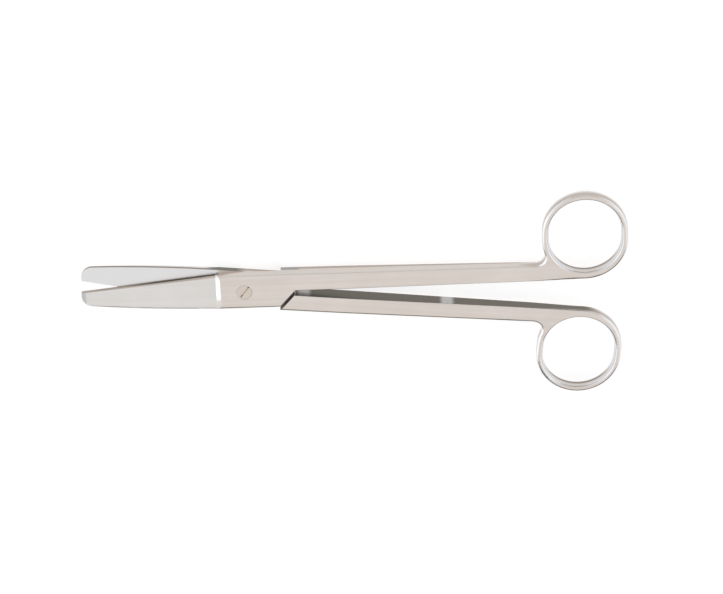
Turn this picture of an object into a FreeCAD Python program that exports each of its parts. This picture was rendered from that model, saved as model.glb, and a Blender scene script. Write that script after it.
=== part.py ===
import FreeCAD, Part
import math
import os
import re
import Sketcher

V = FreeCAD.Vector
os.makedirs("parts", exist_ok=True)
doc = FreeCAD.newDocument("scissors")

# Driving sizes in millimetres and degrees.
# Both halves share one outline. Its own frame has the pivot axis at the origin, the shear plane at z = 0,
# the blade toward -X, the ring toward +X, the blade's spine at -Y and the outer side of the shank at +Y.
SIZES = [
    ("joint_half_thick", 3.4),     # shear plane to the ground face of the joint
    ("joint_half_width", 7.0),     # pivot axis to either long side of the joint
    ("shear_gap", 0.02),           # each shear face lies this far from the shear plane
    ("blank_allowance", 1.5),      # forging stock that grinding takes off each face
    ("tip_reach", 61.2),           # pivot axis to the end of the blade
    ("tip_lean", 0.5),             # the tip's end leans back by this at the cutting edge
    ("tip_width", 5.6),            # blade width at the tip
    ("tip_lead", 1.0),             # cutting edge at the tip, past the closed centre line
    ("tip_round", 4.2),            # round corner between the tip's end and the spine
    ("heel_reach", 5.0),           # pivot axis to the heel, where the cutting edge starts
    ("heel_round", 25.0),          # round that leads the joint's side into the cutting edge
    ("spine_reach", 12.0),         # pivot axis to the start of the spine's long arc
    ("ramp_foot", 10.5),           # pivot axis to the foot of the ramp behind the blade face
    ("ramp_run", 1.7),             # length of the ramp along the blade
    ("heel_spine_thick", 3.2),     # blade thickness at the ramp, along the spine
    ("heel_edge_thick", 2.0),      # blade thickness at the ramp, behind the cutting bevel
    ("tip_spine_thick", 1.9),      # blade thickness at the tip, along the spine
    ("tip_edge_thick", 0.8),       # blade thickness at the tip, behind the cutting bevel
    ("bevel_width", 0.5),          # cutting bevel, across the blade
    ("edge_land", 0.25),           # thickness left at the cutting edge itself
    ("closing_gap", 0.1),          # closed centre line to the inner wall of the shank
    ("step_reach", 15.3),          # pivot axis square to the step wall
    ("step_slant", 54.7),          # step wall to the long axis
    ("lap_gap", 1.3),              # the other half's lap end stays this far inside the step's reach
    ("lap_slant", 48.6),           # lap end to the long axis
    ("lap_root", 6.0),             # how far the lap's outline runs on into the shank
    ("ring_reach", 126.9),         # pivot axis to the centre of the finger ring
    ("shank_end_width", 6.2),      # shank width where it meets the ring
    ("taper_start", 34.0),         # pivot axis to where the shank starts to thin
    ("taper_slope", 0.88),         # each face slopes in by this
    ("taper_ease", 300.0),         # round that eases each end of the slope
    ("taper_drop", 1.0),           # each face of the ring lies this far inside the joint's face
    ("hole_half_width", 13.3),     # finger hole, along the shank
    ("hole_straight", 2.8),        # straight stretch of the hole's sides
    ("ring_side_stock", 2.65),     # stock of the ring at its two sides
    ("ring_inner_stock", 3.3),     # stock of the ring on the shank's side
    ("ring_far_stock", 2.5),       # stock of the ring on the far side
    ("crotch_round", 3.4),         # concave round between shank and ring
    ("ring_oval", 1.3),            # the ring's hole side curves back this far from its middle to its crest
    ("oval_rise", 0.05),           # the crest of that curve lies this far past the ring's face
    ("hole_stock", 0.5),           # forging stock left inside the finger hole
    ("outer_round", 1.25),         # edge round of the outer side and the ring
    ("wall_round", 0.3),           # edge round of the inner wall, up to the ring
    ("spine_round", 1.2),          # edge round of the spine side, at the joint
    ("back_round", 1.2),           # edge round of the blade's spine and tip, partly ground off
    ("screw_dia", 3.6),            # shaft of the pivot screw
    ("head_dia", 5.8),             # head of the pivot screw, flush with the joint
    ("head_angle", 90.0),          # cone of the head
    ("running_gap", 0.05),         # radial clearance round the screw in the half that turns
    ("thread_gap", 0.01),          # radial clearance in the tapped half
    ("slot_width", 0.55),          # driver slot
    ("slot_depth", 0.8),
    ("slot_turn", 56.0),           # slot to the long axis
    ("rest_opening", 5.96),        # angle between the halves at rest
    ("tool_past", 5.0),            # outlines that cut run on this far past the steel
]
CLOSE = 0.005                      # places nearer than this are one place

# Places that follow from the sizes, as formulas of their names.
TIP_SPINE = "(tip_width - tip_lead)"
SPINE_RUN = "(tip_reach - spine_reach)"
SPINE_RISE = f"(joint_half_width - {TIP_SPINE})"
SPINE_ARC = f"(({SPINE_RUN}^2 + {SPINE_RISE}^2) / (2 * {SPINE_RISE}))"
EDGE_SLOPE = "((joint_half_width - tip_lead) / (tip_reach - tip_lean - heel_reach))"
EDGE_TURN = f"atan({EDGE_SLOPE})"
HEEL_TANGENT = f"(heel_round * tan({EDGE_TURN} / 2))"
HEEL_START = f"(-heel_reach - {HEEL_TANGENT} * cos({EDGE_TURN}))"
HEEL_SIDE = f"(joint_half_width - {HEEL_TANGENT} * sin({EDGE_TURN}))"
SPINE_GRADE = "((heel_spine_thick - tip_spine_thick) / (tip_reach - ramp_foot))"
LAP_REACH = "(step_reach - lap_gap)"
STEP_OUTER = "((step_reach - joint_half_width * cos(step_slant)) / sin(step_slant))"
STEP_INNER = "((step_reach - closing_gap * cos(step_slant)) / sin(step_slant))"
LAP_CORNER = f"(({LAP_REACH} - joint_half_width * cos(lap_slant)) / sin(lap_slant))"
LAP_INNER = f"(({LAP_REACH} + closing_gap * cos(lap_slant)) / sin(lap_slant))"
ROOT = f"({LAP_INNER} + lap_root)"
SHANK_END = "(closing_gap + shank_end_width)"
HOLE_BOTTOM = "(closing_gap + ring_inner_stock)"
HOLE_LOW = f"({HOLE_BOTTOM} + hole_half_width)"
HOLE_HIGH = f"({HOLE_LOW} + hole_straight)"
ROUGH_HOLE = "(hole_half_width - hole_stock)"
RIM = "(hole_half_width + ring_side_stock)"
RIM_LOW = f"(closing_gap + {RIM})"
RIM_TOP = f"({HOLE_HIGH} + hole_half_width + ring_far_stock)"
RIM_HIGH = f"({RIM_TOP} - {RIM})"
CROTCH = f"(ring_reach - sqrt({RIM}^2 - ({RIM_LOW} - {SHANK_END})^2))"
OUTER_SLOPE = f"(({SHANK_END} - joint_half_width) / ({CROTCH} - {STEP_OUTER}))"
TAPER_RUN = "((taper_drop + 2 * taper_ease * (1 / cos(taper_slope) - 1)) / tan(taper_slope))"
TAPER_END = f"(taper_start + {TAPER_RUN})"
EASE_RUN = "(taper_ease * sin(taper_slope))"
EASE_DROP = "(taper_ease * (1 - cos(taper_slope)))"
BLANK_TOP = "(joint_half_thick + blank_allowance)"

sheet = doc.addObject("Spreadsheet::Sheet", "Sizes")
for row, (name, size) in enumerate(SIZES, start=1):
    sheet.set(f"A{row}", name)
    sheet.set(f"B{row}", str(size))
    sheet.setAlias(f"B{row}", name)
doc.recompute()


def formula(text):
    """The text with each size's name turned into its cell."""
    return re.sub(r"[a-z]+(?:_[a-z]+)+", lambda word: "Sizes." + word.group(0), text)


def value(text):
    """The number that a formula of the sizes gives."""
    return float(sheet.evalExpression(formula(text)))


def bind(thing, prop, text):
    thing.setExpression(prop, formula(text))


def pin(sketch, kind, places, text):
    """A dimension whose value is a formula of the sizes."""
    index = sketch.addConstraint(Sketcher.Constraint(kind, *places, value(text)))
    bind(sketch, f"Constraints[{index}]", text)


def origin_plane(body, role):
    return [item for item in body.Origin.OriginFeatures if item.Role == role][0]


def new_sketch(body, name, role, offset=None):
    """A sketch on one of the body's own planes, moved along its normal by a formula."""
    sketch = body.newObject("Sketcher::SketchObject", name)
    sketch.AttachmentSupport = [(origin_plane(body, role), "")]
    sketch.MapMode = "FlatFace"
    if offset:
        bind(sketch, "AttachmentOffset.Base.z", offset)
    return sketch


def add_arc(sketch, start, end, radius, bulges):
    """An arc between two corners of an outline; gives the places of its start and end."""
    middle = (start + end) * 0.5
    chord = end - start
    inward = V(-chord.y, chord.x, 0).normalize() * (1 if bulges else -1)
    centre = middle + inward * math.sqrt(radius ** 2 - (chord.Length / 2) ** 2)
    first, last = (start, end) if bulges else (end, start)
    angle_first = math.atan2(first.y - centre.y, first.x - centre.x)
    angle_last = math.atan2(last.y - centre.y, last.x - centre.x)
    if angle_last < angle_first:
        angle_last += 2 * math.pi
    circle = Part.Circle(centre, V(0, 0, 1), radius)
    sketch.addGeometry(Part.ArcOfCircle(circle, angle_first, angle_last), False)
    return (1, 2) if bulges else (2, 1)


def outline(sketch, corners):
    """A closed outline, counter-clockwise; a corner with a radius starts an arc, which bulges or is hollow."""
    points = [V(value(corner[0]), value(corner[1]), 0) for corner in corners]
    first = sketch.GeometryCount
    ends = []
    for i, corner in enumerate(corners):
        start, end = points[i], points[(i + 1) % len(points)]
        if len(corner) == 2:
            sketch.addGeometry(Part.LineSegment(start, end), False)
            ends.append((1, 2))
        else:
            ends.append(add_arc(sketch, start, end, value(corner[3]), corner[2] == "bulge"))
    for i, corner in enumerate(corners):
        after = (i + 1) % len(corners)
        sketch.addConstraint(Sketcher.Constraint("Coincident", first + i, ends[i][1], first + after, ends[after][0]))
        pin(sketch, "DistanceX", (first + i, ends[i][0]), corner[0])
        pin(sketch, "DistanceY", (first + i, ends[i][0]), corner[1])
        if len(corner) == 4:
            pin(sketch, "Radius", (first + i,), corner[3])


def add_feature(body, kind, name, **settings):
    feature = body.newObject("PartDesign::" + kind, name)
    for prop, setting in settings.items():
        setattr(feature, prop, setting)
    body.Tip = feature
    return feature


def edges_through(shape, points):
    """Names of the edges that pass through the given points."""
    spots = [Part.Vertex(point) for point in points]
    return [f"Edge{i}" for i, edge in enumerate(shape.Edges, start=1)
            if any(spot.distToShape(edge)[0] < CLOSE for spot in spots)]


def round_edges(body, name, base, places, size):
    """A round on the edges that pass through the given places."""
    doc.recompute()
    points = [V(*[value(text) for text in place]) for place in places]
    feature = add_feature(body, "Fillet", name, Base=(base, edges_through(base.Shape, points)))
    bind(feature, "Radius", size)
    return feature


def cut_side(along):
    """How far the cutting edge's line stands from the long axis, at a place along it."""
    return f"(tip_lead + {EDGE_SLOPE} * (tip_reach - tip_lean + {along}))"


def rounded_blade(body, name):
    """The blade as it is forged, thinner toward the tip and rounded along its back."""
    blade = new_sketch(body, name + "_blade_outline", "XY_Plane", "shear_gap")
    outline(blade, [
        ("-(tip_reach - tip_lean)", "tip_lead"),
        ("-tip_reach", f"-{TIP_SPINE}", "bulge", SPINE_ARC),
        ("-spine_reach", "-joint_half_width"),
        (HEEL_START, "-joint_half_width"),
        (HEEL_START, HEEL_SIDE),
    ])
    pad = add_feature(body, "Pad", name + "_blade", Profile=blade)
    bind(pad, "Length", f"{BLANK_TOP} - shear_gap")
    tip = round_edges(body, name + "_tip", pad, [("-tip_reach", f"-{TIP_SPINE}", "joint_half_thick / 2")], "tip_round")
    slope = new_sketch(body, name + "_blade_slope", "XZ_Plane")
    past_tip, top = "-(tip_reach + tool_past)", f"({BLANK_TOP} + tool_past)"
    outline(slope, [
        (past_tip, f"tip_spine_thick - tool_past * {SPINE_GRADE}"),
        ("0", f"heel_spine_thick + ramp_foot * {SPINE_GRADE}"),
        ("0", top),
        (past_tip, top),
    ])
    sloped = add_feature(body, "Pocket", name + "_sloped", Profile=slope, Midplane=True)
    bind(sloped, "Length", f"4 * {RIM_TOP}")
    back = ("-spine_reach", "-joint_half_width", f"heel_spine_thick - (spine_reach - ramp_foot) * {SPINE_GRADE}")
    return round_edges(body, name + "_back", sloped, [back], "back_round")


def hole_outline(sketch, half_width):
    """The outline of the finger hole, as wide as given."""
    outline(sketch, [
        ("ring_reach", f"{HOLE_LOW} - {half_width}", "bulge", half_width),
        (f"ring_reach + {half_width}", HOLE_LOW),
        (f"ring_reach + {half_width}", HOLE_HIGH, "bulge", half_width),
        ("ring_reach", f"{HOLE_HIGH} + {half_width}", "bulge", half_width),
        (f"ring_reach - {half_width}", HOLE_HIGH),
        (f"ring_reach - {half_width}", HOLE_LOW, "bulge", half_width),
    ])


def hole_side(body, name):
    """The ring's hole side: half an oval, from crest to crest, cut all round the hole."""
    path = new_sketch(body, name + "_hole_path", "XY_Plane")
    hole_outline(path, "hole_half_width")
    side = new_sketch(body, name + "_hole_section", "YZ_Plane", "ring_reach")
    crest, crest_height = f"({HOLE_BOTTOM} - ring_oval)", "(joint_half_thick - taper_drop + oval_rise)"
    inside = f"({HOLE_BOTTOM} + 2 * hole_stock)"
    low, wall = V(value(crest), -value(crest_height), 0), V(value(HOLE_BOTTOM), 0, 0)
    oval = Part.Ellipse(low, wall, V(value(crest), 0, 0))
    side.addGeometry(Part.ArcOfEllipse(oval, 0, math.pi), False)
    corners = [V(value(x), value(y), 0) for x, y in (
        (crest, crest_height), (inside, crest_height), (inside, f"-{crest_height}"), (crest, f"-{crest_height}"))]
    for start, end in zip(corners, corners[1:]):
        side.addGeometry(Part.LineSegment(start, end), False)
    for before, after in ((0, 1), (1, 2), (2, 3), (3, 0)):
        side.addConstraint(Sketcher.Constraint("Coincident", before, 2, after, 1))
    side.exposeInternalGeometry(0)
    long_axis, short_axis = 4, 5
    for end, height in ((1, f"-{crest_height}"), (2, crest_height)):
        pin(side, "DistanceX", (long_axis, end), crest)
        pin(side, "DistanceY", (long_axis, end), height)
        pin(side, "DistanceX", (0, end), crest)
        pin(side, "DistanceX", (2, end), inside)
    pin(side, "DistanceX", (short_axis, 1), HOLE_BOTTOM)
    pin(side, "DistanceY", (2, 1), crest_height)
    pin(side, "DistanceY", (2, 2), f"-{crest_height}")
    return add_feature(body, "SubtractivePipe", name + "_hole_side", Profile=side, Spine=(path, [""]))


def half_blank(name):
    """The forged plate of one half: full thickness in shank and ring, half of it in blade and lap."""
    body = doc.addObject("PartDesign::Body", name + "_blank")

    blade = rounded_blade(body, name)
    joint = new_sketch(body, name + "_joint_outline", "XY_Plane", "shear_gap")
    root_outer = f"(joint_half_width + {OUTER_SLOPE} * ({ROOT} - {STEP_OUTER}))"
    outline(joint, [
        ("-ramp_foot", cut_side("-ramp_foot")),
        ("-ramp_foot", "-joint_half_width"),
        (LAP_CORNER, "-joint_half_width"),
        (LAP_INNER, "closing_gap"),
        (ROOT, "closing_gap"),
        (ROOT, root_outer),
        (STEP_OUTER, "joint_half_width"),
        (f"{HEEL_TANGENT} - heel_reach", "joint_half_width", "bulge", "heel_round"),
        (HEEL_START, HEEL_SIDE),
    ])
    joint_pad = add_feature(body, "Pad", name + "_joint", Profile=joint)
    bind(joint_pad, "Length", f"{BLANK_TOP} - shear_gap")

    shank = new_sketch(body, name + "_shank_outline", "XY_Plane")
    outline(shank, [
        (STEP_OUTER, "joint_half_width"),
        (STEP_INNER, "closing_gap"),
        ("ring_reach", "closing_gap", "bulge", RIM),
        (f"ring_reach + {RIM}", RIM_LOW),
        (f"ring_reach + {RIM}", RIM_HIGH, "bulge", RIM),
        ("ring_reach", RIM_TOP, "bulge", RIM),
        (f"ring_reach - {RIM}", RIM_HIGH),
        (f"ring_reach - {RIM}", RIM_LOW, "bulge", RIM),
        (CROTCH, SHANK_END),
    ])
    hole_outline(shank, ROUGH_HOLE)
    shank_pad = add_feature(body, "Pad", name + "_shank", Profile=shank, Midplane=True)
    bind(shank_pad, "Length", f"2 * {BLANK_TOP}")
    round_edges(body, name + "_crotch", shank_pad, [(CROTCH, SHANK_END, "joint_half_thick / 2")], "crotch_round")

    faces = new_sketch(body, name + "_ground_faces", "XZ_Plane")
    past_tip, top = "-(tip_reach + tool_past)", f"({BLANK_TOP} + tool_past)"
    past_ring = f"(ring_reach + {RIM} + tool_past)"
    outline(faces, [
        (past_tip, "joint_half_thick"),
        ("taper_start", "joint_half_thick", "hollow", "taper_ease"),
        (f"taper_start + {EASE_RUN}", f"joint_half_thick - {EASE_DROP}"),
        (f"{TAPER_END} - {EASE_RUN}", f"joint_half_thick - taper_drop + {EASE_DROP}", "bulge", "taper_ease"),
        (TAPER_END, "joint_half_thick - taper_drop"),
        (past_ring, "joint_half_thick - taper_drop"),
        (past_ring, top),
        (past_tip, top),
    ])
    ground = add_feature(body, "Pocket", name + "_ground", Profile=faces, Midplane=True)
    bind(ground, "Length", f"4 * {RIM_TOP}")
    add_feature(body, "Mirrored", name + "_ground_back", Originals=[ground],
                MirrorPlane=(origin_plane(body, "XY_Plane"), [""]))
    hole_side(body, name)
    doc.recompute()
    return body


def pivot_hole(body, name, gap, countersunk):
    """The hole for the pivot screw, cut down from the ground face."""
    place = new_sketch(body, name + "_pivot_place", "XY_Plane", "joint_half_thick")
    place.addGeometry(Part.Circle(V(0, 0, 0), V(0, 0, 1), value("screw_dia / 2")), False)
    place.addConstraint(Sketcher.Constraint("Coincident", 0, 3, -1, 1))
    pin(place, "Radius", (0,), "screw_dia / 2")
    doc.recompute()
    hole = add_feature(body, "Hole", name + "_pivot_hole", Profile=place)
    hole.DepthType = "ThroughAll"
    bind(hole, "Diameter", f"screw_dia + 2 * {gap}")
    if countersunk:
        hole.HoleCutType = "Countersink"
        hole.HoleCutCustomValues = True
        bind(hole, "HoleCutDiameter", f"head_dia + 2 * {gap}")
        bind(hole, "HoleCutCountersinkAngle", "head_angle")
    doc.recompute()
    return hole


def rim_rounds(shape):
    """Edge rounds of the long sides and the ring; the inner wall's round grows toward the ring."""
    joint, drop, half_width = value("joint_half_thick"), value("taper_drop"), value("joint_half_width")
    closing, step = value("closing_gap"), value(STEP_INNER)
    outer, inner, spine = value("outer_round"), value("wall_round"), value("spine_round")
    grow_from, grow_to = value(TAPER_END), value("ring_reach")
    hole = Part.makeLine(V(grow_to, value(HOLE_LOW), 0), V(grow_to, value(HOLE_HIGH), 0))

    rounds = []
    for i, edge in enumerate(shape.Edges, start=1):
        first, last = edge.Vertexes[0].Point, edge.Vertexes[-1].Point
        middle = edge.valueAt((edge.FirstParameter + edge.LastParameter) / 2)
        level = abs(middle.z) > joint - drop - CLOSE and abs(first.z - last.z) < drop
        if not level or middle.x < -value("ramp_foot") or middle.Length < value("head_dia"):
            continue
        if hole.distToShape(Part.Vertex(V(middle.x, middle.y, 0)))[0] < value("hole_half_width + ring_oval"):
            continue
        if abs(middle.y + half_width) < CLOSE:
            rounds.append((i, spine, spine))
        elif abs(middle.y - closing) < CLOSE and middle.x > step:
            shares = [min(max((point.x - grow_from) / (grow_to - grow_from), 0), 1) for point in (first, last)]
            rounds.append((i, *[inner + (outer - inner) * share for share in shares]))
        elif middle.x > step or middle.y > half_width - CLOSE:
            rounds.append((i, outer, outer))
    return rounds


def grind_tool(name):
    """What grinding takes off the blade's outer face: it thins toward the edge and the tip."""
    body = doc.addObject("PartDesign::Body", name + "_grind")
    above, past = "(3 * joint_half_thick)", "tool_past"
    stations = [
        ("tip", "-tip_reach", f"-{TIP_SPINE}", "tip_spine_thick", "tip_edge_thick", "edge_land"),
        ("foot", "-ramp_foot", "-joint_half_width", "heel_spine_thick", "heel_edge_thick", "edge_land"),
        ("ramp", "-(ramp_foot - 2 * ramp_run)", "-joint_half_width", "2 * joint_half_thick - heel_spine_thick",
         "2 * joint_half_thick - heel_edge_thick", "2 * joint_half_thick - edge_land"),
    ]
    sections = []
    for place, x, back, spine, edge, land in stations:
        cut = cut_side(x)
        grade = f"(({spine} - ({edge})) / ({cut} - bevel_width - {back}))"
        section = new_sketch(body, f"{name}_section_{place}", "YZ_Plane", x)
        outline(section, [
            (f"{back} - {past}", f"{spine} + {past} * {grade}"),
            (f"{cut} - bevel_width", edge),
            (cut, land),
            (f"{cut} + {past}", land),
            (f"{cut} + {past}", above),
            (f"{back} - {past}", above),
        ])
        sections.append(section)
    add_feature(body, "AdditiveLoft", name + "_ground_off", Profile=sections[0], Sections=sections[1:], Ruled=True)
    doc.recompute()
    return body


def half(name, gap, countersunk):
    """One half of the scissors in its own frame."""
    blank = half_blank(name)
    pivot_hole(blank, name, gap, countersunk)
    rounded = doc.addObject("Part::Fillet", name + "_rounded")
    rounded.Base = blank
    rounded.Edges = rim_rounds(blank.Shape)
    finished = doc.addObject("Part::Cut", name)
    finished.Label = name
    finished.Base = rounded
    finished.Tool = grind_tool(name)
    doc.recompute()
    return finished


def pivot_screw(name):
    """Slotted screw with a flush countersunk head, held by its thread in the lower half."""
    body = doc.addObject("PartDesign::Body", name)
    body.Label = name
    profile = new_sketch(body, name + "_profile", "XZ_Plane")
    outline(profile, [
        ("0", "-joint_half_thick"),
        ("screw_dia / 2", "-joint_half_thick"),
        ("screw_dia / 2", "joint_half_thick - (head_dia - screw_dia) / 2 / tan(head_angle / 2)"),
        ("head_dia / 2", "joint_half_thick"),
        ("0", "joint_half_thick"),
    ])
    turned = add_feature(body, "Revolution", name + "_turned", Profile=profile, Angle=360)
    turned.ReferenceAxis = (profile, ["V_Axis"])
    slot = new_sketch(body, name + "_slot", "XY_Plane", "joint_half_thick")
    corners = []
    for end, side in ((-1, -1), (1, -1), (1, 1), (-1, 1)):
        along, across = f"({end} * head_dia)", f"({side} * slot_width / 2)"
        corners.append((f"{along} * cos(slot_turn) - {across} * sin(slot_turn)",
                        f"{along} * sin(slot_turn) + {across} * cos(slot_turn)"))
    outline(slot, corners)
    cut = add_feature(body, "Pocket", name + "_driver_slot", Profile=slot)
    bind(cut, "Length", "slot_depth")
    doc.recompute()
    return body


def place(thing, turned_over, opening_share):
    """Lays a piece in the frame of the whole: the joint's lower face on z = 0, the pivot axis at the origin."""
    flip = FreeCAD.Rotation(V(1, 0, 0), 180 if turned_over else 0)
    swing = FreeCAD.Rotation(V(0, 0, 1), opening_share * value("rest_opening"))
    thing.Placement = FreeCAD.Placement(V(0, 0, value("joint_half_thick")), swing * flip)


top_half = half("top_half", "running_gap", True)
bottom_half = half("bottom_half", "thread_gap", False)
screw = pivot_screw("pivot_screw")
place(top_half, False, 0.5)
place(bottom_half, True, -0.5)
place(screw, False, 0)
doc.recompute()

for item in doc.Objects:
    if "Invalid" in item.State or "Error" in item.State:
        raise RuntimeError(item.Name + " did not build")
for piece in (top_half, bottom_half, screw):
    if piece.Shape.isNull() or not piece.Shape.isValid() or len(piece.Shape.Solids) != 1:
        raise RuntimeError(piece.Label + " is not one valid solid")
for piece in (top_half, bottom_half, screw):
    piece.Shape.exportStep("parts/" + piece.Label + ".step")
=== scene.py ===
import math

import bpy
from mathutils import Matrix, Vector


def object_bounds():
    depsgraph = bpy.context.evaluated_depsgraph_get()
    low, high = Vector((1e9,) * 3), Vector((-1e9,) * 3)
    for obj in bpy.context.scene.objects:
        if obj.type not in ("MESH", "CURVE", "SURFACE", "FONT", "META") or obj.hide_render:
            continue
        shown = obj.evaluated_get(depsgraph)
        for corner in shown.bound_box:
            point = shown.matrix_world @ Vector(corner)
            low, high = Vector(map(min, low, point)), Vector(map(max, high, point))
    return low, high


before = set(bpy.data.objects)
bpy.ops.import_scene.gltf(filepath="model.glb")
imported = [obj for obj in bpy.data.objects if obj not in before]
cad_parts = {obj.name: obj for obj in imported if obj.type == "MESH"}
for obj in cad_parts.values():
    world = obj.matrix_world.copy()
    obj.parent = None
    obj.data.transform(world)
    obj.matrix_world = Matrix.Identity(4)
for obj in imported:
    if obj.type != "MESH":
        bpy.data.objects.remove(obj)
cad_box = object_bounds()

# Lengths are in metres and angles in degrees, where no comment says otherwise. X runs from the tips to the
# rings, Z up from the table, and Y to the side from which the camera looks.

# The photograph's frame and the camera that gives its view.
IMAGE_WIDTH = 723              # pixels
SENSOR_WIDTH = 36.0            # millimetres, across the image
CAMERA_TILT = 29.27            # line of sight to the vertical
CAMERA_TURN = -1.22            # about the vertical, from the Y direction
CAMERA_ROLL = -0.36
CAMERA_DISTANCE = 1.2223
PIXELS_PER_METRE = 2678.7      # at the point aimed at
AIM = Vector((0.0436629, -0.0031524, 0.0034))
VISIBLE_RANGE = (0.05, 20.0)

# Places on a half. Its own directions start at the pivot: along, to its ring, and out, to its shank's side.
HALF_TURN = 2.98                       # from the long axis of the whole to that of a half
HEAD_TOP = cad_box[1][2]               # the screw's head lies level with the upper face of the joint
SHEAR_HEIGHT = HEAD_TOP / 2            # plane in which the two halves meet
RAMP_FOOT = -0.0106                    # the ramp behind the blade face: its end toward the tip
RAMP_TOP = -0.0085                     # and its end at the joint
LAP_END = 0.0122                       # end of the other half's lap
STEP_OUTER = 0.0140                    # where the shank's full thickness starts on the outer side
WALL_START = 0.0188                    # where the inner wall of the shank starts, at the notch
LIGHT_PATCHES = (0.0222, 0.0757)        # middles of two painted lighter patches, on that wall
RING_CENTRE = (0.1269, 0.0181)         # along and out

# Fades along a half: a tone comes in from the first place to the second.
ALONG_BLADE = (RAMP_TOP, RAMP_FOOT)
ALONG_TIP_END = (-0.057, -0.059)
ALONG_TIP_BEVEL = (-0.0588, -0.0596)
ALONG_TO_HEEL = (-0.05, -0.03)         # cut side of the blade
ALONG_TO_SHADE = (0.085, 0.10)         # outer side, toward the ring
ALONG_RING = (0.100, 0.108)
ALONG_HOLE = (0.1115, 0.1135)
ALONG_TO_CROTCH = (0.114, 0.1125)      # from the ring back to its corner with the shank
ALONG_WALL = (WALL_START, WALL_START + 0.0005)
ALONG_WALL_END = (0.135, 0.127)        # where the inner wall turns into the ring

# Stretches along a half: from, to, and half the length over which each end fades.
RAMP_STRETCH = (RAMP_FOOT, RAMP_TOP, 0.0004)
HEEL_STRETCH = (-0.0135, -0.0015, 0.0025)
NOTCH_STRETCH = (LAP_END, WALL_START, 0.0003)
LAP_STRETCH = (STEP_OUTER, STEP_OUTER + 0.0065, 0.001)
LIGHT_PATCH_STRETCHES = [(middle - 0.0022, middle + 0.0022, 0.001) for middle in LIGHT_PATCHES]

# Fades outward on a half.
OUT_RAMP_BACK = (-0.0026, -0.0038)     # the end of the ramp next to the blade's back
OUT_WALL = (0.006, 0.005)              # nothing of the inner wall lies further out
OUT_OF_HOLE = (0.002, -0.002)          # from the ring's centre, in the direction that the surface faces

# Fades in height above the table.
LOW_SIDE = (0.0029, 0.0021)
RING_LINE_RISE = (0.0029, 0.0033)
UNDER_LAP = (SHEAR_HEIGHT, SHEAR_HEIGHT - 0.0008)

# Fades away from the plane in which the halves meet.
SHEAR_FACE_RISE = (0.0003, 0.0001)
BEVEL_RISE = (0.0002, 0.0004)
SHOULDER_RISE = (0.0006, 0.0010)
SPINE_RISE = (0.0009, 0.0013)

# Fades by the way the surface faces: 1 is squarely in the direction named, 0 across it and -1 away from it.
# Up or down:
FLAT = (0.97, 0.99)
FLAT_BEVEL = (0.9, 0.97)
OFF_FLAT = (0.995, 0.94)
ROUNDED = (0.97, 0.70)
UPRIGHT = (0.50, 0.05)
BELLY = (0.42, 0.24)
# Out or in:
SLANTED = (0.93, 0.80)
OUT_CUT_SIDE = (0.25, 0.5)
IN_BACK = (0.5, 0.75)
IN_WALL = (0.5, 0.8)
# Along:
LENGTHWISE = (0.20, 0.42)              # one way or the other
TO_TIP = (-0.2, -0.4)
TO_TIP_END = (-0.2, -0.5)
# To Y:
LIT = (0.0, 0.4)
LIT_HOLE = (0.25, 0.60)
LIT_HOLE_LINE = (0.35, 0.75)
LIT_LAP = (0.6, 0.8)
LIT_WALL = (0.0, 0.2)
UNLIT = (-0.05, -0.20)
# Up, as a stretch: from, to, and half of each fade.
HOLE_LINE_STRETCH = (-0.30, 0.07, 0.06)

# Brushed grain and streaks: noise cells for each metre along, out and up.
GRAIN_CELLS = (60, 2600, 2600)
STREAK_CELLS = (12, 700, 700)
CLOUDS = 90.0
STREAK_SHARE = 0.6                     # of streaks in the tone, with clouds as the rest
TONE_CONTRAST = (0.25, 0.75)
ROUGHNESS = 0.26                       # least
GRAIN_ROUGHNESS = 0.10                 # added at the most
RING_ROUGHNESS = 0.15
GRAIN_DEPTH = 0.00002
GRAIN_RELIEF = 0.12

# The screw's head, turned and polished.
HEAD_RADIUS = 0.0029
HEAD_RIM_RADIUS = (HEAD_RADIUS - 0.0003, HEAD_RADIUS)
HEAD_RIM_SIDE = (-0.001, 0.001)        # the half of the rim toward the rings and away from the camera
SLOT_HEIGHT = (HEAD_TOP - 0.00005, HEAD_TOP - 0.0002)
SLOT_END_PLACE = (-0.0014, -0.0019)    # along Y
TURNING = 26000.0                      # radians for each metre of radius
HEAD_CLOUDS = 800.0
TURNING_ROUGHNESS = 0.03
TURNING_DEPTH = 0.00001
TURNING_RELIEF = 0.1

# The studio.
SOFT_LIGHT = 0.5                       # strength of the surroundings for rays that don't show them
TABLE_SIZE = (12, 12)
TABLE_GAP = 0.00002                    # keeps the table clear of the faces that rest on it
TABLE_GLOW = 0.72                      # for rays that show the table
TABLE_CLOUDS = 30.0
CARD_CLOUDS = 40.0
CARDS = {                              # place, size and two colours
    "card_grey": ((0.05, 0.75, 0.12), (1.6, 0.09), (0.70, 0.69, 0.67, 1), (0.76, 0.75, 0.73, 1)),
    "card_black": ((0.05, -0.75, 0.15), (1.6, 0.24), (0.02, 0.018, 0.015, 1), (0.03, 0.027, 0.022, 1)),
}
LAMP_SIZE = (1.2, 1.0)
LAMP_WATTS = 1.2
LAMP_COLOUR = (0.90, 0.95, 1.0)
LAMP_PLACES = {"lamp_left": (-0.95, -0.2, 0.6), "lamp_right": (1.05, -0.1, 0.65)}

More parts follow.
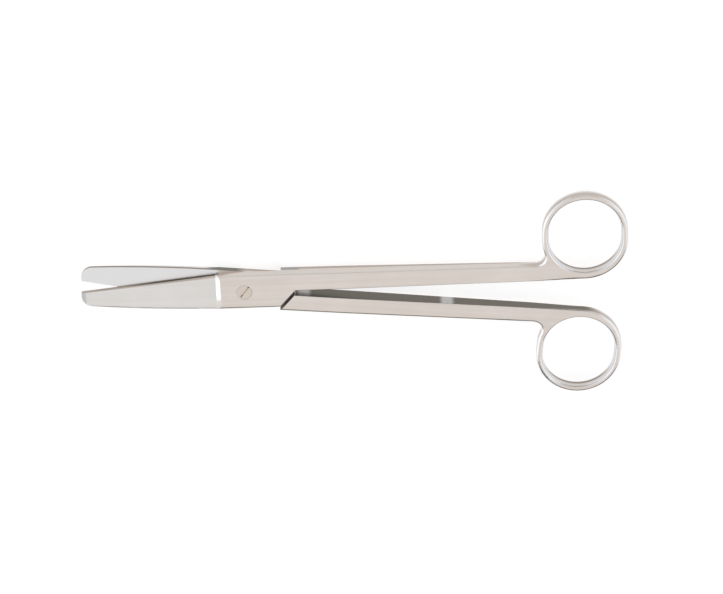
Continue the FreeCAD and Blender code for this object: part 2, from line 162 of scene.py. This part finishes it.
# Colours are linear.
SATIN = (0.645, 0.582, 0.54, 1)
SATIN_LIGHT = (0.71, 0.65, 0.605, 1)
BLADE = (0.67, 0.645, 0.62, 1)
BLADE_LIGHT = (0.71, 0.69, 0.67, 1)
SHEAR_FACE = (0.735, 0.725, 0.725, 1)
RING_CROWN = (0.61, 0.57, 0.54, 1)     # rounded sides of the ring, near its flat faces
RING_HIGHLIGHT = (0.74, 0.75, 0.775, 1)   # painted highlight on the same, where they face along the shank; the next one at the crotch
CROTCH_HIGHLIGHT = (0.90, 0.91, 0.93, 1)
RING_BELLY = (0.70, 0.68, 0.66, 1)     # painted reflection on the lower part of the outer side's middle
RING_LINE = (0.50, 0.43, 0.38, 1)      # painted dark line on the upper part of the outer side's middle
HOLE_BELLY = (0.64, 0.65, 0.67, 1)     # painted bluish reflection in the middle of the hole's side
HOLE_LINE = (0.26, 0.22, 0.19, 1)      # painted dark line in it where it faces Y
SUNLIT_SIDE = (0.66, 0.605, 0.565, 1)  # rounded sides that face Y
SUNLIT_LOW_SHADE = (0.44, 0.375, 0.33, 1)    # painted darker line at their lowest part
SHADED_SIDE = (0.30, 0.26, 0.22, 1)    # sides that face away from Y
SHADED_END = (0.17, 0.155, 0.135, 1)   # the same, next to the ring
LAP_SHADE = (0.36, 0.34, 0.32, 1)
INNER_WALL_SHADE = (0.155, 0.14, 0.118, 1)   # painted shade on the shank's inner wall
# Painted lighter patches in that shade, then deep painted shade in the notch.
WALL_HIGHLIGHT = (0.50, 0.49, 0.48, 1)
NOTCH = (0.035, 0.032, 0.028, 1)
EDGE_TIP = (0.46, 0.40, 0.35, 1)       # painted shade on the blade's cut side, toward the tip; the next two toward the heel and at its shoulder
EDGE_HEEL = (0.12, 0.095, 0.07, 1)
EDGE_SHOULDER = (0.58, 0.53, 0.48, 1)
# Painted shade on the blade's tip end and on its bevel.
TIP_END = (0.36, 0.37, 0.38, 1)
TIP_BEVEL = (0.51, 0.515, 0.52, 1)
SPINE_LINE = (0.25, 0.22, 0.19, 1)     # painted dark line next to the plane in which the halves meet; the next two: painted reflection below it, painted shade at the heel
SPINE_LOW = (0.78, 0.76, 0.75, 1)
SPINE_HEEL = (0.19, 0.18, 0.16, 1)
# Painted highlight on the ramp behind the blade face.
RAMP_HIGHLIGHT = (0.93, 0.93, 0.93, 1)
HEAD = (0.615, 0.535, 0.475, 1)
HEAD_LIGHT = (0.675, 0.595, 0.53, 1)
# Painted shade: a line on half the head's rim, and one end of the slot.
HEAD_RIM = (0.44, 0.38, 0.34, 1)
SLOT_END = (0.05, 0.042, 0.035, 1)
WHITE = (1, 1, 1, 1)
TABLE = (0.58, 0.58, 0.58, 1)
TABLE_LIGHT = (0.6, 0.6, 0.6, 1)


class Nodes:
    """A node material or world, with short calls for adding and joining nodes."""

    def __init__(self, owner):
        owner.use_nodes = True
        self.tree = owner.node_tree
        self.tree.nodes.clear()

    def add(self, kind, settings=None, **values):
        node = self.tree.nodes.new(kind)
        for name, setting in (settings or {}).items():
            setattr(node, name, setting)
        for name, given in values.items():
            self.feed(node.inputs[name.replace("_", " ")], given)
        return node

    def feed(self, socket, given):
        if isinstance(given, bpy.types.NodeSocket):
            self.tree.links.new(given, socket)
        else:
            socket.default_value = given

    def feed_all(self, sockets, values):
        for socket, given in zip(sockets, values):
            self.feed(socket, given)

    def math(self, operation, first, second=0.0, third=0.0):
        node = self.add("ShaderNodeMath", {"operation": operation})
        self.feed_all(node.inputs, (first, second, third))
        return node.outputs[0]

    def all(self, first, *others):
        """The product of shares: 1 where all of them are 1."""
        for other in others:
            first = self.math("MULTIPLY", first, other)
        return first

    def step(self, given, start, end):
        """Rises smoothly from 0 at start to 1 at end; start may be the larger one."""
        node = self.add("ShaderNodeMapRange", {"interpolation_type": "SMOOTHSTEP"})
        numbers = (start, end, 0.0, 1.0) if start < end else (end, start, 1.0, 0.0)
        self.feed_all(node.inputs, (given, *numbers))
        return node.outputs[0]

    def between(self, given, low, high, soft):
        """1 between the two places, with ends that fade over twice the soft length."""
        return self.all(self.step(given, low - soft, low + soft), self.step(given, high + soft, high - soft))

    def blend(self, share, first, second):
        node = self.add("ShaderNodeMix", {"data_type": "FLOAT"})
        self.feed_all((node.inputs[0], node.inputs[2], node.inputs[3]), (share, first, second))
        return node.outputs[0]

    def mix(self, share, first, second):
        node = self.add("ShaderNodeMix", {"data_type": "RGBA"})
        self.feed_all((node.inputs[0], node.inputs[6], node.inputs[7]), (share, first, second))
        return node.outputs[2]

    def noise(self, vector, scale=1.0, detail=2.0, roughness=0.5):
        node = self.add("ShaderNodeTexNoise", Vector=vector, Scale=scale, Detail=detail, Roughness=roughness)
        return node.outputs[0]

    def turned(self, vector, degrees, stretch=(1, 1, 1)):
        node = self.add("ShaderNodeMapping", {"vector_type": "POINT"}, Vector=vector)
        node.inputs["Rotation"].default_value = (0, 0, math.radians(degrees))
        node.inputs["Scale"].default_value = stretch
        return node.outputs[0]

    def polished(self, colour, roughness, relief, depth, lines):
        """Ends a material as bare metal with fine lines in its surface."""
        bump = self.add("ShaderNodeBump", Strength=relief, Distance=depth, Height=lines)
        shader = self.add("ShaderNodeBsdfPrincipled", Base_Color=colour, Metallic=1.0, Roughness=roughness,
                          Normal=bump.outputs[0])
        self.add("ShaderNodeOutputMaterial", Surface=shader.outputs[0])


class HalfNodes(Nodes):
    """The nodes of one half's material, with the places on it and the ways its surface faces."""

    def __init__(self, material, half_turn, shank_side):
        super().__init__(material)
        where = self.add("ShaderNodeTexCoord")
        self.own = self.turned(where.outputs["Object"], -half_turn)
        place = self.add("ShaderNodeSeparateXYZ", Vector=self.own)
        normal = self.add("ShaderNodeSeparateXYZ", Vector=self.turned(where.outputs["Normal"], -half_turn))
        self.along, self.height = place.outputs[0], place.outputs[2]
        self.out = self.all(place.outputs[1], shank_side)
        self.from_shear = self.math("ABSOLUTE", self.math("SUBTRACT", self.height, SHEAR_HEIGHT))
        self.facing_along, self.facing_y, self.facing_up = normal.outputs
        self.facing_out = self.all(self.facing_y, shank_side)
        self.facing_in = self.all(self.facing_out, -1.0)
        self.level = self.math("ABSOLUTE", self.facing_up)
        self.rounded = self.step(self.level, *ROUNDED)
        self.upright = self.step(self.level, *UPRIGHT)
        self.on_blade = self.step(self.along, *ALONG_BLADE)
        self.off_blade = self.math("SUBTRACT", 1.0, self.on_blade)
        self.on_ring = self.step(self.along, *ALONG_RING)


def face_tones(n):
    """Brushed flat faces: satin on the shank and joint, cooler on the blade and cleanest where it shears."""
    streaks = n.noise(n.turned(n.own, 0, STREAK_CELLS), roughness=0.6)
    clouds = n.noise(n.own, CLOUDS)
    tone = n.step(n.blend(STREAK_SHARE, clouds, streaks), *TONE_CONTRAST)
    colour = n.mix(n.on_blade, n.mix(tone, SATIN, SATIN_LIGHT), n.mix(tone, BLADE, BLADE_LIGHT))
    shear_face = n.all(n.on_blade, n.step(n.level, *FLAT), n.step(n.from_shear, *SHEAR_FACE_RISE))
    return n.mix(shear_face, colour, SHEAR_FACE)


def side_tones(n, colour):
    """Sides of joint and shank: lit where they face Y and shaded where they face away from it."""
    lit = n.all(n.off_blade, n.rounded, n.step(n.facing_y, *LIT))
    colour = n.mix(lit, colour, n.mix(n.step(n.height, *LOW_SIDE), SUNLIT_SIDE, SUNLIT_LOW_SHADE))
    shaded = n.all(n.off_blade, n.step(n.level, *OFF_FLAT), n.step(n.facing_y, *UNLIT))
    colour = n.mix(shaded, colour, n.mix(n.step(n.along, *ALONG_TO_SHADE), SHADED_SIDE, SHADED_END))
    below_lap = n.all(n.step(n.height, *UNDER_LAP), n.between(n.along, *LAP_STRETCH))
    return n.mix(n.all(n.step(n.facing_y, *LIT_LAP), below_lap), colour, LAP_SHADE)


def ring_tones(n, colour):
    """The ring's rounded sides: a tone of their own near the flat faces, with painted highlights, and
    painted reflections and dark lines in the middle.
    """
    past_centre = n.math("SUBTRACT", n.along, RING_CENTRE[0])
    out_of_centre = n.math("SUBTRACT", n.out, RING_CENTRE[1])
    from_centre = n.math("MULTIPLY_ADD", out_of_centre, n.facing_out, n.all(past_centre, n.facing_along))
    hole_side = n.all(n.step(from_centre, *OUT_OF_HOLE), n.step(n.along, *ALONG_HOLE))
    outer_belly = n.mix(n.step(n.height, *RING_LINE_RISE), RING_BELLY, RING_LINE)
    hole_belly = n.mix(n.step(n.facing_y, *LIT_HOLE), HOLE_BELLY, RING_CROWN)
    crown = n.mix(n.step(n.math("ABSOLUTE", n.facing_along), *LENGTHWISE), RING_CROWN, RING_HIGHLIGHT)
    crotch = n.all(n.step(n.along, *ALONG_TO_CROTCH), n.step(n.facing_along, *TO_TIP))
    crown = n.mix(crotch, crown, CROTCH_HIGHLIGHT)
    ring = n.mix(n.step(n.level, *BELLY), crown, n.mix(hole_side, outer_belly, hole_belly))
    facing_line = n.all(n.step(n.facing_y, *LIT_HOLE_LINE), n.between(n.facing_up, *HOLE_LINE_STRETCH))
    ring = n.mix(n.all(hole_side, facing_line), ring, HOLE_LINE)
    return n.mix(n.all(n.on_ring, n.rounded), colour, ring)


def edge_tones(n, colour):
    """Painted shade on the blade's cut side, lightest at its shoulder and toward the tip, and on the tip's
    end and bevel.
    """
    cut_side = n.all(n.on_blade, n.step(n.facing_out, *OUT_CUT_SIDE))
    tone = n.mix(n.step(n.along, *ALONG_TO_HEEL), EDGE_TIP, EDGE_HEEL)
    colour = n.mix(cut_side, colour, n.mix(n.step(n.from_shear, *SHOULDER_RISE), tone, EDGE_SHOULDER))
    tip_end = n.all(n.step(n.along, *ALONG_TIP_END), n.step(n.facing_along, *TO_TIP_END))
    colour = n.mix(tip_end, colour, TIP_END)
    bevel = n.all(n.step(n.level, *FLAT_BEVEL), n.step(n.from_shear, *BEVEL_RISE))
    return n.mix(n.all(n.step(n.along, *ALONG_TIP_BEVEL), bevel), colour, TIP_BEVEL)


def back_tones(n, colour):
    """Painted shade and light on the blade's rounded back, a painted dark end beside the joint, and a
    painted highlight on the ramp behind the blade face.
    """
    back = n.step(n.facing_in, *IN_BACK)
    tone = n.mix(n.step(n.from_shear, *SPINE_RISE), SPINE_LINE, SPINE_LOW)
    colour = n.mix(n.all(n.on_blade, back), colour, tone)
    colour = n.mix(n.all(back, n.between(n.along, *HEEL_STRETCH)), colour, SPINE_HEEL)
    ramp = n.all(n.step(n.facing_along, *TO_TIP), n.between(n.along, *RAMP_STRETCH))
    return n.mix(ramp, colour, n.mix(n.step(n.out, *OUT_RAMP_BACK), RAMP_HIGHLIGHT, SATIN))


def wall_tones(n, colour):
    """Painted shade on the shank's inner wall, with two painted lighter patches on the one that faces Y, and
    deeper painted shade in the notch before it.
    """
    tone = INNER_WALL_SHADE
    for stretch in LIGHT_PATCH_STRETCHES:
        patch = n.all(n.between(n.along, *stretch), n.step(n.facing_y, *LIT_WALL))
        tone = n.mix(patch, tone, WALL_HIGHLIGHT)
    on_wall = n.all(n.step(n.along, *ALONG_WALL), n.step(n.along, *ALONG_WALL_END), n.step(n.out, *OUT_WALL))
    colour = n.mix(n.all(n.upright, n.step(n.facing_in, *IN_WALL), on_wall), colour, tone)
    slanted = n.step(n.math("ABSOLUTE", n.facing_out), *SLANTED)
    return n.mix(n.all(n.upright, slanted, n.between(n.along, *NOTCH_STRETCH)), colour, NOTCH)


def steel(name, half_turn, shank_side):
    """Stainless steel of one half, with a finish that follows the place and the way the surface faces."""
    material = bpy.data.materials.new(name)
    n = HalfNodes(material, half_turn, shank_side)
    colour = face_tones(n)
    for part_tones in (side_tones, ring_tones, edge_tones, back_tones, wall_tones):
        colour = part_tones(n, colour)
    grain = n.noise(n.turned(n.own, 0, GRAIN_CELLS), detail=3.0, roughness=0.6)
    cross_grain = n.noise(n.turned(n.own, 90, GRAIN_CELLS), detail=3.0, roughness=0.6)
    lines = n.blend(n.on_blade, grain, cross_grain)
    rough = n.math("MULTIPLY_ADD", lines, GRAIN_ROUGHNESS, ROUGHNESS)
    rough = n.blend(n.all(n.on_ring, n.rounded), rough, RING_ROUGHNESS)
    n.polished(colour, rough, GRAIN_RELIEF, GRAIN_DEPTH, lines)
    return material


def screw_steel(name):
    """Steel of the pivot screw, with fine rings from turning, a painted shade line on half its rim and
    painted shade at one end of its slot.
    """
    material = bpy.data.materials.new(name)
    n = Nodes(material)
    where = n.add("ShaderNodeTexCoord").outputs["Object"]
    x, y, height = n.add("ShaderNodeSeparateXYZ", Vector=where).outputs
    flat_place = n.add("ShaderNodeCombineXYZ", X=x, Y=y).outputs[0]
    length = n.add("ShaderNodeVectorMath", {"operation": "LENGTH"})
    n.feed(length.inputs[0], flat_place)
    radius = length.outputs["Value"]
    rings = n.math("SINE", n.math("MULTIPLY", radius, TURNING))
    colour = n.mix(n.noise(where, HEAD_CLOUDS), HEAD, HEAD_LIGHT)
    rim = n.all(n.step(radius, *HEAD_RIM_RADIUS), n.step(n.math("SUBTRACT", x, y), *HEAD_RIM_SIDE))
    colour = n.mix(rim, colour, HEAD_RIM)
    slot_end = n.all(n.step(height, *SLOT_HEIGHT), n.step(y, *SLOT_END_PLACE))
    colour = n.mix(slot_end, colour, SLOT_END)
    rough = n.math("MULTIPLY_ADD", rings, TURNING_ROUGHNESS, ROUGHNESS)
    n.polished(colour, rough, TURNING_RELIEF, TURNING_DEPTH, rings)
    return material


def dress(node, material):
    """Gives a node of the frame its finish."""
    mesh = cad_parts[node].data
    mesh.materials.clear()
    mesh.materials.append(material)


def camera():
    """The photograph's camera, with its image's upper edge toward Y."""
    tilt, turn, roll = (math.radians(angle) for angle in (CAMERA_TILT, CAMERA_TURN, CAMERA_ROLL))
    back = Vector((math.sin(tilt) * math.sin(turn), math.sin(tilt) * math.cos(turn), math.cos(tilt)))
    level = Vector((math.cos(turn), -math.sin(turn), 0))
    rise = level.cross(-back)
    right = math.cos(roll) * level + math.sin(roll) * rise
    up = math.cos(roll) * rise - math.sin(roll) * level
    data = bpy.data.cameras.new("camera")
    data.sensor_width = SENSOR_WIDTH
    data.lens = PIXELS_PER_METRE * CAMERA_DISTANCE * SENSOR_WIDTH / IMAGE_WIDTH
    data.clip_start, data.clip_end = VISIBLE_RANGE
    eye = bpy.data.objects.new("camera", data)
    axes = Matrix((right, up, back)).transposed().to_4x4()
    eye.matrix_world = Matrix.Translation(AIM + CAMERA_DISTANCE * back) @ axes
    bpy.context.scene.collection.objects.link(eye)
    bpy.context.scene.camera = eye


def seen_share(n):
    """1 for a ray that shows the background itself: straight, in a reflection or through glass."""
    path = n.add("ShaderNodeLightPath")
    share = n.math("MAXIMUM", path.outputs["Is Camera Ray"], path.outputs["Is Glossy Ray"])
    return n.math("MAXIMUM", share, path.outputs["Is Transmission Ray"])


def surroundings():
    """White all round where it is seen, and an even soft light."""
    world = bpy.data.worlds.new("surroundings")
    bpy.context.scene.world = world
    n = Nodes(world)
    strength = n.math("MULTIPLY_ADD", seen_share(n), 1.0 - SOFT_LIGHT, SOFT_LIGHT)
    light = n.add("ShaderNodeBackground", Color=WHITE, Strength=strength)
    n.add("ShaderNodeOutputWorld", Surface=light.outputs[0])


def facing(axis, place, look_at):
    """The matrix of a thing at a place, with one of its axes toward a point."""
    towards = Vector(look_at) - Vector(place)
    return Matrix.Translation(place) @ towards.to_track_quat(axis, "Y").to_matrix().to_4x4()


def plane(name, size, place, look_at, material):
    """A flat sheet that faces a point; it belongs to the studio and not to the scissors."""
    mesh = bpy.data.meshes.new(name)
    wide, high = size[0] / 2, size[1] / 2
    corners = [(-wide, -high, 0), (wide, -high, 0), (wide, high, 0), (-wide, high, 0)]
    mesh.from_pydata(corners, [], [(0, 1, 2, 3)])
    mesh.materials.append(material)
    sheet = bpy.data.objects.new(name, mesh)
    sheet.matrix_world = facing("Z", place, look_at)
    bpy.context.scene.collection.objects.link(sheet)
    return sheet


def floor():
    """A white table top that shows white where nothing shades it and keeps the shadow."""
    material = bpy.data.materials.new("table_white")
    n = Nodes(material)
    where = n.add("ShaderNodeTexCoord").outputs["Object"]
    paper = n.add("ShaderNodeBsdfDiffuse", Color=n.mix(n.noise(where, TABLE_CLOUDS), TABLE, TABLE_LIGHT))
    glow = n.add("ShaderNodeEmission", Color=WHITE, Strength=n.math("MULTIPLY", seen_share(n), TABLE_GLOW))
    lit_paper = n.add("ShaderNodeAddShader")
    n.feed_all(lit_paper.inputs, (paper.outputs[0], glow.outputs[0]))
    n.add("ShaderNodeOutputMaterial", Surface=lit_paper.outputs[0])
    plane("table", TABLE_SIZE, (0, 0, -TABLE_GAP), (0, 0, 1), material)


def card(name, place, size, dark, light):
    """A card low beside the table, seen in the polished edges and by no camera."""
    material = bpy.data.materials.new(name)
    n = Nodes(material)
    where = n.add("ShaderNodeTexCoord").outputs["Object"]
    shader = n.add("ShaderNodeBsdfDiffuse", Color=n.mix(n.noise(where, CARD_CLOUDS), dark, light))
    n.add("ShaderNodeOutputMaterial", Surface=shader.outputs[0])
    plane(name, size, place, (place[0], 0, place[2]), material).visible_camera = False


def lamp(name, place):
    """A large soft lamp, aimed at the scissors."""
    data = bpy.data.lights.new(name, "AREA")
    data.shape = "RECTANGLE"
    data.size, data.size_y = LAMP_SIZE
    data.energy = LAMP_WATTS
    data.color = LAMP_COLOUR
    light = bpy.data.objects.new(name, data)
    light.matrix_world = facing("-Z", place, AIM)
    bpy.context.scene.collection.objects.link(light)


def studio():
    """The table in its white surroundings, with the cards and lamps around it."""
    surroundings()
    floor()
    for name, (place, size, dark, light) in CARDS.items():
        card(name, place, size, dark, light)
    for name, place in LAMP_PLACES.items():
        lamp(name, place)
    bpy.context.scene.view_settings.view_transform = "Standard"


dress("top_half", steel("steel_top", HALF_TURN, 1.0))
dress("bottom_half", steel("steel_bottom", -HALF_TURN, -1.0))
dress("pivot_screw", screw_steel("steel_screw"))
camera()
studio()
